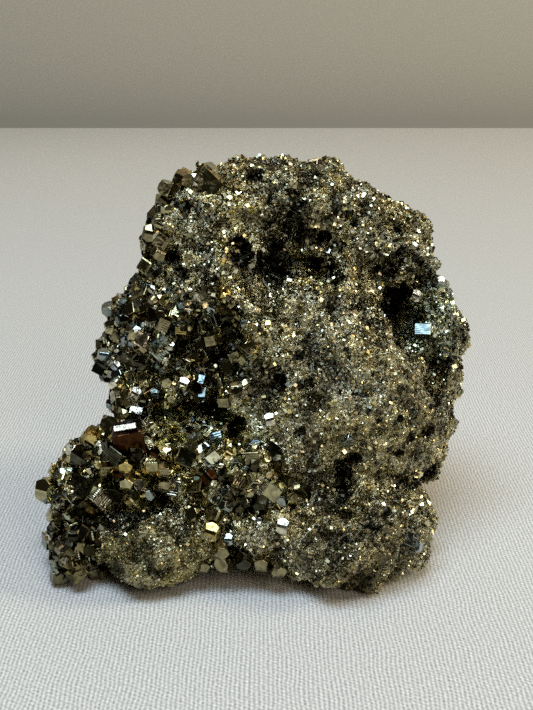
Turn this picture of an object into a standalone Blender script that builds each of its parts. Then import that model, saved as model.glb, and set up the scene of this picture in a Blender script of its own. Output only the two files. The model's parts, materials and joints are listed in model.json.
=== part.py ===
"""Pyrite specimen, 80 mm across: one solid mass of intergrown pyrite, resting on its broken base.

The mass is a heap of rounded lumps fused into one body, with vugs sunk into it. Well-formed
crystals grow from it on the left side, on the foot and in the vugs. Lengths in the tables are in
millimetres, from a datum on the ground near the middle of the base, and angles are in degrees;
Blender works in metres. +X runs to the right, +Y to the back and +Z up.
"""
import math
import random

import bmesh
import bpy
from mathutils import Euler, Matrix, Vector

MM = 0.001

# Driving sizes, in metres. DATUM is where the tables' datum lies from the middle of the base.
DATUM = Vector((0, 3.3, 0)) * MM
FUSE_VOXEL = 0.8 * MM
KNOB_RELIEF = 1.3 * MM
KNOB_WIDTH = 5.0 * MM
PIT_RELIEF = 0.9 * MM
PIT_WIDTH = 2.6 * MM
GROUND_CUTTER = 0.2
ROCK_SHARE_KEPT = 0.046
KNOB_SEAT = 0.94
CRYSTAL_SEAT = 0.95
VUG_CLEARANCE = 0.9
PYRITE_COLOR = (0.60, 0.52, 0.33, 1)
PYRITE_ROUGHNESS = 0.3

# Rounded lumps that make up the mass: centre x, y, z and radii along x, y, z.
LUMPS = {
    "core": (2, 4, 34, 24, 22, 30),
    "core low": (10, 2, 20, 24, 24, 20),
    "core base": (4, -2, 8, 22, 20, 9),
    "plateau": (14, -8, 26, 19, 14, 19),
    "plateau top": (8.5, -4, 42, 13, 10.5, 14),
    "plateau right": (23.5, -6, 24, 11, 12, 14),
    "rim left": (-10, 0, 59.3, 7.3, 9, 7.8),
    "rim left shoulder": (-16.8, 0, 54, 4, 7, 5),
    "rim left foot": (-16.2, 0, 48.5, 5, 7, 5),
    "band left": (-9, -5, 52.5, 6, 5, 4.5),
    "band knob": (-4, -7, 45.5, 6, 4.5, 4),
    "rim middle": (-1, 1, 62, 8.5, 9.5, 7.2),
    "rim crest": (4.5, 1, 62.6, 6, 9, 7.1),
    "rim right": (10.5, 1, 60.8, 8.3, 10, 7.8),
    "shoulder": (17.6, 3, 56, 8.5, 11, 7.9),
    "shoulder right": (25, 3, 52.6, 6.9, 10, 7.6),
    "shoulder end": (29, 4, 49.5, 4, 7, 4),
    "side top": (30.3, 4, 39.4, 6.8, 12, 8),
    "side middle": (31.3, 3, 32, 7, 12, 9),
    "side spur": (35.6, 2, 36, 4, 6, 4.5),
    "side low": (28.4, 3, 22.5, 8.6, 12, 9.5),
    "side base": (29.7, 3, 14.6, 7, 10, 7.2),
    "druse wall": (-17.2, -1, 38, 8.8, 9, 10),
    "druse lobe": (-25, 0, 33, 4.3, 7, 5.2),
    "druse sill": (-20.5, -4, 26, 6.5, 7.5, 6.5),
    "foot top": (-21.5, -13, 17.5, 8, 8.5, 7.2),
    "foot crest": (-26.5, -12, 18.5, 5, 6, 4.8),
    "foot core": (-23, -14, 10, 9, 7, 8),
    "foot left": (-30.2, -14, 13.5, 5.6, 7, 6),
    "foot knob": (-35, -13.5, 12.5, 3, 3, 2.8),
    "foot lobe": (-30.8, -21, 5.2, 5.3, 7, 5.8),
    "foot front": (-18, -24.2, 6, 9.5, 9, 6.8),
    "foot toe": (-9, -21, 8, 8, 8, 6),
    "foot neck": (-2.5, -14, 15, 12, 12, 10),
    "apron": (3.5, -21, 9.5, 11, 9, 6.5),
    "front right": (13.5, -23.3, 7, 11, 10, 7.6),
    "front right lobe": (20, -22.6, 7.5, 7.5, 10, 8.3),
    "right foot": (26.5, -15.5, 7, 6, 9, 7.3),
    "back upper": (1, 12, 40, 21, 13, 22),
    "back lower": (9, 14, 18, 22, 13, 16),
    "back left": (-14, 10, 22, 11, 12, 17),
    "back shoulder": (19, 14, 44, 12, 10, 13),
    "back left base": (-10, 14, 8, 11, 12, 9),
    "back right base": (20, 14, 8, 10, 10, 9.5),
}

# Vugs and gaps sunk into the mass, and lumps that stand in them, in the same terms.
VUGS = {
    "main vug": (8, -10, 53.5, 8, 6, 4.5),
    "main vug foot": (2, -12, 48.5, 3, 5, 4),
    "band pit": (-3.5, -11.5, 50, 2.6, 4, 2.2),
    "druse hollow": (-9.5, -13, 38.5, 8.5, 8.5, 9.5),
    "druse pocket": (-8.5, -12, 25.5, 8, 8, 4),
    "side hole": (26.5, -6, 41, 3.6, 9, 5.5),
    "side groove": (31, -9, 32, 2.4, 5, 7),
    "shoulder hole": (25.5, -7.5, 48.5, 4.5, 4, 2.6),
    "front pit": (16.5, -25, 17, 3.2, 6, 4.2),
    "foot gap": (-24, -24.5, 11.8, 5, 4, 1.8),
}
VUG_LUMPS = {
    "main vug lump": (10, -6, 55, 3.4, 3.4, 3),
    "front pit lump": (18, -20.5, 15, 2.2, 2.2, 2.2),
}

# Coats of knobs, and of crystals: the lump or vug that the coat grows on, the way it faces, its
# half angle, how many it has, and their smallest and largest width.
KNOB_COATS = (
    ("back upper", (0, 1, 0.3), 80, 22, 5, 9),
    ("back lower", (0.2, 1, -0.1), 80, 18, 5, 9),
    ("back left", (-0.8, 1, 0), 80, 14, 4, 8),
    ("side low", (1, 0.3, 0), 70, 10, 3, 5),
    ("side middle", (1, 0.2, 0.2), 70, 8, 2.5, 4),
    ("rim left", (-0.2, 0.6, 1), 75, 12, 2.4, 3.6),
    ("rim middle", (0, 0.4, 1), 80, 12, 2.5, 3.6),
    ("rim right", (0.2, 0.4, 1), 80, 10, 2.5, 3.6),
    ("shoulder", (0.3, 0.3, 1), 70, 10, 2.5, 4),
    ("shoulder right", (0.8, 0.2, 0.6), 80, 9, 2.5, 4),
    ("front right", (0.2, -1, 0.8), 60, 10, 3, 5),
)
CRYSTAL_COATS = (
    ("druse wall", (-0.6, -1, 0.2), 80, 16, 2.0, 3.2),
    ("druse hollow", (0.1, 1, 0.1), 60, 14, 2.0, 3.0),
    ("druse lobe", (-0.7, -0.7, 0.1), 80, 8, 1.6, 2.2),
    ("druse sill", (-0.5, -1, 0.2), 75, 8, 2.2, 3.4),
    ("foot top", (0, -0.9, 0.6), 80, 10, 2.6, 3.8),
    ("foot left", (-0.6, -0.8, 0.4), 80, 8, 2.6, 3.6),
    ("foot lobe", (-0.7, -0.7, 0.3), 80, 7, 2.0, 3.0),
    ("foot neck", (-0.3, -1, 0.5), 70, 12, 2.2, 3.4),
    ("side hole", (0.8, 0.6, 0), 55, 5, 1.8, 2.6),
)

# Crystals placed by hand: x, y, z, width, then turn to the right, tilt upwards and roll of the
# face that looks to the front, and the crystal's form.
PLACED_CRYSTALS = (
    (-21.5, -18.5, 24.0, 4.6, 5, -4, -12, "cube"),
    (-28.6, -14.5, 22.8, 3.6, -10, 25, 20, "pyritohedron"),
    (-26.0, -13.5, 24.4, 3.8, 0, 30, 35, "cube"),
    (-31.8, -14.5, 20.4, 2.8, 30, 40, 15, "cube"),
    (-29.8, -16.5, 19.6, 3.6, -35, -10, 20, "cube"),
    (-34.9, -14.5, 16.6, 3.2, -30, 45, 8, "cube"),
    (-37, -14, 12.6, 4.2, -30, 10, 0, "pyritohedron"),
    (-34.8, -17.5, 9.6, 3.8, 0, 5, 20, "cut_corner"),
    (-29.4, -20.2, 16.2, 3.6, -40, 0, 0, "cube"),
    (-22.3, -21.0, 20.4, 3.0, 5, 10, 30, "pyritohedron"),
    (-24.8, -18.8, 22.0, 3.2, 40, 10, 10, "cube"),
    (-17.6, -19.0, 22.2, 2.8, 10, 0, 35, "cube"),
    (-22.0, -21.4, 17.4, 3.0, -5, 15, 10, "pyritohedron"),
    (-16.2, -20.0, 18.4, 2.8, 0, 10, 0, "cut_corner"),
    (-14.0, -19.5, 15.2, 3.2, 15, -20, 5, "cube"),
    (-11.4, -18.8, 19.8, 2.8, 20, 20, -20, "cube"),
    (-6.8, -13.0, 22.3, 3.0, 15, 0, -20, "cube"),
    (-1.1, -19.2, 23.8, 3.0, 5, 30, 10, "cube"),
    (2.3, -18.8, 27.9, 2.2, 0, 35, -15, "cube"),
    (-35.2, -21.8, 7.0, 2.6, 15, 20, 40, "cube"),
    (-7.7, -27.4, 11.3, 3.4, 10, 20, 15, "cut_corner"),
    (-4.4, -27.4, 9.7, 2.8, -10, 10, 0, "pyritohedron"),
    (-7.8, -28.0, 7.6, 3.0, 0, -5, 40, "pyritohedron"),
    (4.4, -28.0, 12.6, 2.8, 5, 25, 0, "pyritohedron"),
    (3.1, -24.2, 17.2, 2.6, -20, 10, 30, "cube"),
    (5.7, -23.7, 15.5, 2.6, 20, 0, 10, "pyritohedron"),
    (-12.8, -9.5, 30.9, 2.4, 5, 35, 0, "cut_corner"),
    (-16.2, -9.5, 31.0, 3.2, 5, 8, 30, "pyritohedron"),
    (-14.9, -10.8, 28.6, 2.8, -10, 15, 0, "cube"),
    (-13.0, -8.6, 33.2, 2.8, -10, 15, 60, "pyritohedron"),
    (-9.8, -8.4, 30.8, 2.2, 10, 20, 8, "cube"),
    (-21.3, -9.2, 40.2, 2.8, -5, 10, 20, "pyritohedron"),
    (-20.4, -9.5, 37.6, 2.8, 0, 5, 50, "cut_corner"),
    (-16.6, -9.0, 40.4, 2.8, 0, 0, 25, "cube"),
    (-13.5, -6.6, 40.0, 2.6, 0, 5, 5, "cube"),
    (-8.0, -5.5, 37.5, 2.6, 5, 0, -10, "cube"),
    (-6.0, -6.2, 40.2, 2.4, 15, 5, 30, "pyritohedron"),
    (-13.5, -7.2, 43.6, 3.0, 10, 30, -25, "cube"),
    (-7.7, -7.0, 44.2, 2.2, 0, 20, 20, "cube"),
    (-17.0, -7.2, 46.0, 2.6, -15, 25, 10, "cube"),
    (-21.3, -10.3, 29.4, 2.6, 20, 30, 30, "cube"),
    (-21.1, -11.6, 26.4, 2.6, 0, 35, 10, "cube"),
    (29.7, -2.6, 39.0, 2.8, -20, 25, 0, "cube"),
    (28.2, -3.2, 45.2, 2.2, -30, 20, 20, "cube"),
    (-9.5, -1.5, 65.6, 4.2, -15, 35, 30, "cube"),
    (-6.3, -1.0, 66.4, 3.4, 20, 20, 25, "cube"),
    (11, -0.5, 67.8, 2.6, 0, 50, 20, "cube"),
    (-16.6, -5.0, 57.6, 3.4, -25, 10, 10, "cube"),
    (-17.4, -6.0, 54.8, 2.8, 0, 0, 30, "cube"),
    (-18.2, -5.6, 51.0, 2.8, -20, 20, 40, "pyritohedron"),
    (31.2, -1.0, 50.2, 3.0, 40, 0, 10, "pyritohedron"),
    (25.7, -26.2, 9.2, 2.4, 10, 15, 0, "cube"),
)

# A crystal's form is a cube of half width 1 cut back by the planes of the pyritohedron {210} and
# of the octahedron {111}: how far from the centre each of them lies, or None where it is absent.
FORMS = {
    "cube": (None, None),
    "pyritohedron": (0.98, None),
    "cut_corner": (None, 1.35),
}
COAT_FORMS = ("cube", "cube", "pyritohedron", "cut_corner")
GOLDEN_ANGLE = math.pi * (3 - math.sqrt(5))


def clear_scene():
    for old in list(bpy.data.objects):
        bpy.data.objects.remove(old)


def new_collection(name):
    made = bpy.data.collections.new(name)
    bpy.context.scene.collection.children.link(made)
    return made


def mesh_object(name, bm, collection):
    mesh = bpy.data.meshes.new(name)
    bm.to_mesh(mesh)
    bm.free()
    made = bpy.data.objects.new(name, mesh)
    collection.objects.link(made)
    return made


def hide_helper(helper):
    helper.hide_render = True
    helper.display_type = "WIRE"


def pyrite():
    made = bpy.data.materials.new("pyrite")
    made.use_nodes = True
    shader = made.node_tree.nodes["Principled BSDF"]
    shader.inputs["Base Color"].default_value = PYRITE_COLOR
    shader.inputs["Metallic"].default_value = 1
    shader.inputs["Roughness"].default_value = PYRITE_ROUGHNESS
    return made


def in_a_vug(place):
    for x, y, z, *radii in VUGS.values():
        away = [(a - b) / radius for a, b, radius in zip(place, (x, y, z), radii)]
        if Vector(away).length < VUG_CLEARANCE:
            return True
    return False


def coat_sites(coats, seat, chance):
    """Yields the place and width of each member of each coat that isn't in the air of a vug.

    A seat of 1 puts a member's centre on the surface, and one below 1 sinks it into the rock.
    """
    for ground, facing, half_angle, count, narrowest, widest in coats:
        sunk = seat
        if ground in VUGS:
            sunk = 2 - seat
        x, y, z, *radii = (LUMPS | VUGS)[ground]
        turn = Vector(facing).to_track_quat("Z", "Y")
        for i in range(count):
            lean = math.radians(half_angle) * math.sqrt((i + 0.5) / count)
            around = i * GOLDEN_ANGLE
            aside = math.sin(lean)
            out = turn @ Vector((aside * math.cos(around), aside * math.sin(around), math.cos(lean)))
            place = Vector((x, y, z)) + Vector(radii) * out * sunk
            width = chance.uniform(narrowest, widest)
            if not in_a_vug(place):
                yield place, width


def ellipsoids(name, rows, collection):
    """One object that holds an icosphere stretched to each row."""
    bm = bmesh.new()
    for row in rows:
        place = Vector(row[:3]) * MM + DATUM
        radii = Vector(row[3:]) * MM
        stretch = Matrix.Translation(place) @ Matrix.Diagonal(radii).to_4x4()
        bmesh.ops.create_icosphere(bm, subdivisions=3, radius=1, matrix=stretch)
    return mesh_object(name, bm, collection)


def knob_rows():
    """Rows for the knobs, each a flattened lump half sunk in the lump that it grows on."""
    chance = random.Random(11)
    for place, width in coat_sites(KNOB_COATS, KNOB_SEAT, chance):
        yield (*place, *(width / 2 * chance.uniform(0.8, 1.2) for _ in range(3)))


def remesh(target, name, voxel):
    made = target.modifiers.new(name, "REMESH")
    made.mode = "VOXEL"
    made.voxel_size = voxel


def boolean(target, name, operation, helper):
    made = target.modifiers.new(name, "BOOLEAN")
    made.operation = operation
    if isinstance(helper, bpy.types.Collection):
        made.operand_type = "COLLECTION"
        made.collection = helper
    else:
        made.object = helper


def displace(target, name, kind, width, relief, middle):
    texture = bpy.data.textures.new(name, kind)
    texture.noise_scale = width
    made = target.modifiers.new(name, "DISPLACE")
    made.texture = texture
    made.texture_coords = "LOCAL"
    made.strength = relief
    made.mid_level = middle


def form_planes(pyritohedron, octahedron):
    """Yields the outward normal and the distance of each plane that cuts the cube back."""
    signs = [(a, b) for a in (1, -1) for b in (1, -1)]
    if pyritohedron:
        for a, b in signs:
            for normal in ((2 * a, b, 0), (0, 2 * a, b), (b, 0, 2 * a)):
                yield Vector(normal).normalized(), pyritohedron
    if octahedron:
        for a, b in signs:
            for c in (1, -1):
                yield Vector((a, b, c)).normalized(), octahedron


def crystal_mesh(name, form):
    bm = bmesh.new()
    bmesh.ops.create_cube(bm, size=2)
    for normal, distance in form_planes(*form):
        whole = bm.verts[:] + bm.edges[:] + bm.faces[:]
        cut = bmesh.ops.bisect_plane(
            bm, geom=whole, dist=1e-5, plane_co=normal * distance, plane_no=normal, clear_outer=True
        )
        rim = [item for item in cut["geom_cut"] if isinstance(item, bmesh.types.BMEdge)]
        bmesh.ops.edgeloop_fill(bm, edges=rim)
    bmesh.ops.recalc_face_normals(bm, faces=bm.faces)
    mesh = bpy.data.meshes.new(name)
    bm.to_mesh(mesh)
    bm.free()
    return mesh


def all_crystals():
    """Yields each crystal's place and width in millimetres, its rotation and its form."""
    for x, y, z, width, turn, tilt, roll, form in PLACED_CRYSTALS:
        turned = Matrix.Rotation(math.radians(turn), 4, "Z")
        tilted = Matrix.Rotation(math.radians(-tilt), 4, "X")
        rolled = Matrix.Rotation(math.radians(roll), 4, "Y")
        yield Vector((x, y, z)), width, turned @ tilted @ rolled, form
    chance = random.Random(8)
    for place, width in coat_sites(CRYSTAL_COATS, CRYSTAL_SEAT, chance):
        angles = [chance.uniform(0, math.tau) for _ in range(3)]
        yield place, width, Euler(angles).to_matrix().to_4x4(), chance.choice(COAT_FORMS)


def grow_crystals(collection):
    meshes = {name: crystal_mesh(name, form) for name, form in FORMS.items()}
    for number, (place, width, rotation, form) in enumerate(all_crystals()):
        made = bpy.data.objects.new(f"crystal_{number}", meshes[form])
        half_width = Matrix.Scale(width / 2 * MM, 4)
        made.matrix_world = Matrix.Translation(place * MM + DATUM) @ rotation @ half_width
        hide_helper(made)
        collection.objects.link(made)


def ground_cutter(collection):
    """A block whose top is the ground, which cuts the base flat where it comes down to it."""
    bm = bmesh.new()
    below = Matrix.Translation((0, 0, -GROUND_CUTTER / 2))
    bmesh.ops.create_cube(bm, size=GROUND_CUTTER, matrix=below)
    return mesh_object("ground_cutter", bm, collection)


def main():
    clear_scene()
    specimen = new_collection("pyrite specimen")
    cutters = new_collection("cutters")
    crystals = new_collection("crystals")

    body = ellipsoids("pyrite_specimen", [*LUMPS.values(), *knob_rows()], specimen)
    body.data.materials.append(pyrite())
    vugs = ellipsoids("vugs", VUGS.values(), cutters)
    vug_lumps = ellipsoids("vug_lumps", VUG_LUMPS.values(), cutters)
    ground = ground_cutter(cutters)
    for helper in (vugs, vug_lumps, ground):
        hide_helper(helper)
    remesh(vugs, "fuse", FUSE_VOXEL)
    grow_crystals(crystals)

    remesh(body, "fuse", FUSE_VOXEL)
    boolean(body, "sink vugs", "DIFFERENCE", vugs)
    boolean(body, "add vug lumps", "UNION", vug_lumps)
    displace(body, "knobs", "VORONOI", KNOB_WIDTH, -KNOB_RELIEF, 0.35)
    remesh(body, "fuse again", FUSE_VOXEL)
    displace(body, "pits", "CLOUDS", PIT_WIDTH, PIT_RELIEF, 0.5)
    thin = body.modifiers.new("thin", "DECIMATE")
    thin.ratio = ROCK_SHARE_KEPT
    boolean(body, "grow crystals", "UNION", crystals)
    boolean(body, "cut base", "DIFFERENCE", ground)


main()
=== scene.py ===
"""Looks of a pyrite specimen: a lumpy mass of intergrown pyrite, with its crystals and its grains.

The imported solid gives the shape. The crisp crystals, the crust between them and the grains that
the solid is too coarse for are made here. Lengths in the tables are millimetres, angles are
degrees, and Blender works in metres. +X runs to the right, +Y to the back and +Z up.
"""
import json
import math
import random

import bpy
import numpy as np
from mathutils import Euler, Matrix, Vector, noise

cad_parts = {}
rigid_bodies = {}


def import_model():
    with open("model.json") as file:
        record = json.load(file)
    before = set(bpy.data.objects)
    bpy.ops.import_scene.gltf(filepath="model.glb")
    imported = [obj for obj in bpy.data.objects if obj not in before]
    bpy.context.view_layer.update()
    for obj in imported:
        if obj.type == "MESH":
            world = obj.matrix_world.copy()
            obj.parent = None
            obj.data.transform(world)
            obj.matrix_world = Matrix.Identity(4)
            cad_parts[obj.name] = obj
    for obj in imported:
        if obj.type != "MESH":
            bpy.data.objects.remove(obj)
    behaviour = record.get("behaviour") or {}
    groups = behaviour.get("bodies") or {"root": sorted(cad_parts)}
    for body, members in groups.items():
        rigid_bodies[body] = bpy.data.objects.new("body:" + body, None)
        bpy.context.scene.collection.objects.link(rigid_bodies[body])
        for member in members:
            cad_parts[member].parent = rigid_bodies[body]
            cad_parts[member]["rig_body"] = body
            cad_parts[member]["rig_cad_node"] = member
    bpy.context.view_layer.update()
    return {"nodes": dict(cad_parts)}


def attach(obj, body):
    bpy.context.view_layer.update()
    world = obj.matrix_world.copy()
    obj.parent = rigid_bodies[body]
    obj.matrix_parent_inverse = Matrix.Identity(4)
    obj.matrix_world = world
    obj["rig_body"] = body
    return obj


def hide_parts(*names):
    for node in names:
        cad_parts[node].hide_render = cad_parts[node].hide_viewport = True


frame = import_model()
MM = 0.001


# The room. The specimen stands on a pale woven cloth in front of a plain wall. Cool window light
# comes from the front and above, and warm light from the ceiling and from lamps around it. The rest
# of the room is dark, which is what makes the crystal faces flash from black to white.
def linear(hex_color):
    """The linear colour of an sRGB hex value."""
    channels = [int(hex_color[i : i + 2], 16) / 255 for i in (1, 3, 5)]
    return [c / 12.92 if c <= 0.04045 else ((c + 0.055) / 1.055) ** 2.4 for c in channels] + [1]


def add_node(tree, kind, settings=None, inputs=None):
    """Adds a node, sets its properties, and sets or links its inputs."""
    node = tree.nodes.new(kind)
    for key, value in (settings or {}).items():
        setattr(node, key, value)
    for key, value in (inputs or {}).items():
        if isinstance(value, bpy.types.NodeSocket):
            tree.links.new(value, node.inputs[key])
        else:
            node.inputs[key].default_value = value
    return node


def new_material(name):
    """A new material, its node tree and its shader."""
    made = bpy.data.materials.new(name)
    made.use_nodes = True
    return made, made.node_tree, made.node_tree.nodes["Principled BSDF"]


bpy.context.scene.view_settings.view_transform = "Standard"
# Denoising smears the glints, which are only a pixel or two wide, so it is off.
bpy.context.scene.cycles.use_denoising = False
bpy.context.scene.cycles.sample_clamp_indirect = 2

bpy.ops.object.select_all(action="DESELECT")
bpy.ops.object.camera_add(location=(0.0017, -0.1967, 0.100), rotation=(math.radians(71.5), 0, 0))
camera = bpy.context.object
camera.data.sensor_width = 36
camera.data.lens = 58.3
camera.data.clip_start = 0.01
bpy.context.scene.camera = camera


def sheet(name, width, height, place, turn):
    """A flat sheet of the room, with its size, turn and place in its mesh."""
    bpy.ops.object.select_all(action="DESELECT")
    bpy.ops.mesh.primitive_plane_add(size=1)
    made = bpy.context.object
    made.name = name
    made.scale = (width, height, 1)
    made.rotation_euler = (turn, 0, 0)
    made.location = place
    bpy.ops.object.transform_apply(location=True, rotation=True, scale=True)
    return made


# Cotton cloth. Warp threads run from front to back, and a fainter weft slants across them. Both are
# drawn a little coarser than such thread, so that they show. The light and shade of the threads is
# painted into the cloth's colour. They wander a little, their fuzz mottles them, and the weave
# fades out with the distance, where it is too fine to show.
WARP, WEFT = 0.67 * MM, 0.85 * MM
WEFT_SHARE, WEFT_SLANT = 0.45, 0.6
WANDER, WANDER_WIDTH = 1.2 * MM, 9 * MM
WEAVE_DEPTH = 0.3
FUZZ_DEPTH, FUZZ_WIDTH = 0.7, 0.5 * MM
FADE_FROM, FADE_TO = 0.1, 0.28
TABLE_BACK = 0.58
floor = sheet("floor", 3.0, 2.4, (0, TABLE_BACK - 1.2, 0), 0)
table_cloth, tree, shader = new_material("woven cotton")
place = add_node(tree, "ShaderNodeTexCoord").outputs["Object"]
TIMES, PLUS, SINE = ({"operation": kind} for kind in ("MULTIPLY", "ADD", "SINE"))
SCALE_AND_SHIFT = {"operation": "MULTIPLY_ADD"}
coarse = {"Vector": place, "Scale": 1 / WANDER_WIDTH, "Detail": 3.0}
uneven = add_node(tree, "ShaderNodeTexNoise", None, coarse).outputs["Fac"]
wander = add_node(tree, "ShaderNodeMath", TIMES, {0: uneven, 1: WANDER}).outputs[0]
across = add_node(tree, "ShaderNodeSeparateXYZ", None, {"Vector": place})
x = add_node(tree, "ShaderNodeMath", PLUS, {0: across.outputs["X"], 1: wander}).outputs[0]
slant = add_node(tree, "ShaderNodeMath", TIMES, {0: x, 1: WEFT_SLANT}).outputs[0]
y = add_node(tree, "ShaderNodeMath", PLUS, {0: across.outputs["Y"], 1: slant}).outputs[0]
warp = add_node(tree, "ShaderNodeMath", TIMES, {0: x, 1: math.tau / WARP}).outputs[0]
warp = add_node(tree, "ShaderNodeMath", SINE, {0: warp}).outputs[0]
weft = add_node(tree, "ShaderNodeMath", TIMES, {0: y, 1: math.tau / WEFT}).outputs[0]
weft = add_node(tree, "ShaderNodeMath", SINE, {0: weft}).outputs[0]
weft = add_node(tree, "ShaderNodeMath", TIMES, {0: weft, 1: WEFT_SHARE}).outputs[0]
weave = add_node(tree, "ShaderNodeMath", PLUS, {0: warp, 1: weft}).outputs[0]
fine = {"Vector": place, "Scale": 1 / FUZZ_WIDTH, "Detail": 1.0}
fuzz = add_node(tree, "ShaderNodeTexNoise", None, fine).outputs["Fac"]
centred = {0: fuzz, 1: 2 * FUZZ_DEPTH / WEAVE_DEPTH, 2: -FUZZ_DEPTH / WEAVE_DEPTH}
fuzz = add_node(tree, "ShaderNodeMath", SCALE_AND_SHIFT, centred).outputs[0]
weave = add_node(tree, "ShaderNodeMath", PLUS, {0: weave, 1: fuzz}).outputs[0]
away = add_node(tree, "ShaderNodeVectorMath", {"operation": "LENGTH"}, {0: place}).outputs["Value"]
far = {"Value": away, "From Min": FADE_FROM, "From Max": FADE_TO, "To Min": 1.0, "To Max": 0.0}
fade = add_node(tree, "ShaderNodeMapRange", None, far).outputs[0]
weave = add_node(tree, "ShaderNodeMath", TIMES, {0: weave, 1: fade}).outputs[0]
shaded = {0: weave, 1: WEAVE_DEPTH / (1 + WEFT_SHARE), 2: 1.0}
weave = add_node(tree, "ShaderNodeMath", SCALE_AND_SHIFT, shaded).outputs[0]
# The painted light and shade of the weave scales the cloth's colour.
painted_thread_shade = {0: linear("#D7D5CD")[:3], "Scale": weave}
cotton = add_node(tree, "ShaderNodeVectorMath", {"operation": "SCALE"}, painted_thread_shade)
tree.links.new(cotton.outputs[0], shader.inputs["Base Color"])
shader.inputs["Roughness"].default_value = 0.9
floor.data.materials.append(table_cloth)

wall = sheet("wall", 3.0, 1.4, (0, TABLE_BACK + 0.05, 0.2), math.pi / 2)
wall_paint, tree, shader = new_material("matt wall paint")
place = add_node(tree, "ShaderNodeTexCoord").outputs["Object"]
cloudy = add_node(tree, "ShaderNodeTexNoise", None, {"Vector": place, "Scale": 3.0, "Detail": 2.0})
shades = {0: cloudy.outputs["Fac"], 6: linear("#BFB9AA"), 7: linear("#C8C0AC")}
painted = add_node(tree, "ShaderNodeMix", {"data_type": "RGBA"}, shades)
tree.links.new(painted.outputs[2], shader.inputs["Base Color"])
shader.inputs["Roughness"].default_value = 0.9
wall.data.materials.append(wall_paint)


def area_light(name, place, aim, size, watts, color):
    """A soft light that the camera doesn't see, turned towards the place that it aims at."""
    bpy.ops.object.light_add(type="AREA", location=place)
    lamp = bpy.context.object
    lamp.name = name
    lamp.data.shape = "RECTANGLE"
    lamp.data.size, lamp.data.size_y = size
    lamp.data.energy = watts
    lamp.data.color = linear(color)[:3]
    lamp.rotation_euler = (Vector(aim) - Vector(place)).to_track_quat("-Z", "Y").to_euler()
    lamp.visible_camera = False


area_light("window", (-0.1, -0.25, 0.75), (0, 0.05, 0), (0.5, 0.35), 4.7, "#CBE4FF")
area_light("lamp_right", (0.9, 0.0, 0.5), (0, 0.3, 0), (0.3, 0.3), 4.2, "#FFF4DA")
area_light("lamp_front", (0.3, -0.6, 0.45), (0, -0.1, 0), (0.3, 0.3), 1.2, "#FFEFDC")
area_light("lamp_back", (-0.11, 0.48, 0.25), (0, 0.0, 0.03), (0.2, 0.06), 0.08, "#FFF4E0")
area_light("ceiling", (0.1, 0.0, 1.5), (0.1, 0.2, 0), (1.8, 1.2), 4.65, "#FFE5C2")

world = bpy.data.worlds.new("room")
bpy.context.scene.world = world
world.use_nodes = True
backdrop = world.node_tree.nodes["Background"]
backdrop.inputs["Color"].default_value = linear("#D8D0B0")
backdrop.inputs["Strength"].default_value = 0.028


# The large crystals. Pyrite grows as cubes, as pyritohedra, and as cubes whose corners or edges
# other planes cut off, all with flat bright faces, some of them finely grooved. Each form is cut
# once from a cube, and every crystal is a copy of one, turned and sized, half sunk in the mass.
def vertex_places(mesh):
    """Where the mesh's vertices are, one row each."""
    places = np.empty(len(mesh.vertices) * 3)
    mesh.vertices.foreach_get("co", places)
    return places.reshape(-1, 3)


def model_form(pyritohedron=None, octahedron=None, dodecahedron=None, worn=None):
    """A crystal of half width 1, cut back from a cube by planes at the given distances, its edges
    worn off by a width. Gives its corners, its faces, and each face corner's place across the
    grooves of its face."""
    bpy.ops.object.select_all(action="DESELECT")
    bpy.ops.mesh.primitive_cube_add(size=2)
    made = bpy.context.object
    planes = []
    for a in (1, -1):
        for b in (1, -1):
            if pyritohedron:
                normals = (2 * a, b, 0), (0, 2 * a, b), (b, 0, 2 * a)
                planes += [(normal, pyritohedron) for normal in normals]
            if octahedron:
                planes += [(normal, octahedron) for normal in ((a, b, 1), (a, b, -1))]
            if dodecahedron:
                planes += [(normal, dodecahedron) for normal in ((a, b, 0), (0, a, b), (b, 0, a))]
    bpy.ops.object.mode_set(mode="EDIT")
    for normal, distance in planes:
        out = Vector(normal).normalized()
        bpy.ops.mesh.select_all(action="SELECT")
        bpy.ops.mesh.bisect(plane_co=out * distance, plane_no=out, use_fill=True, clear_outer=True)
    bpy.ops.mesh.select_all(action="SELECT")
    if worn:
        bpy.ops.mesh.bevel(offset=worn, segments=1)
    bpy.ops.mesh.normals_make_consistent(inside=False)
    bpy.ops.object.mode_set(mode="OBJECT")
    corners = vertex_places(made.data)
    faces = [list(face.vertices) for face in made.data.polygons]
    grooves = []
    for face in made.data.polygons:
        across = (int(np.argmax(np.abs(face.normal))) + 1) % 3
        grooves += [corners[v][across] for v in face.vertices]
    bpy.data.objects.remove(made)
    return corners, faces, np.array(grooves)


FORMS = {
    "cube": model_form(worn=0.06),
    "pyritohedron": model_form(pyritohedron=0.98, worn=0.04),
    "cut_corner": model_form(octahedron=1.35, worn=0.04),
    "edged_cube": model_form(dodecahedron=1.3),
    "grain": model_form(),
    "splinter": model_form(octahedron=0.577),
}


def paint(mesh, name, values):
    """Stores a number or a linear colour at each vertex."""
    if values.ndim == 1:
        layer = mesh.attributes.new(name, "FLOAT", "POINT")
        layer.data.foreach_set("value", values)
        return
    layer = mesh.attributes.new(name, "FLOAT_COLOR", "POINT")
    flat = np.concatenate([values, np.ones((len(values), 1))], axis=1)
    layer.data.foreach_set("color", flat.ravel())


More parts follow.
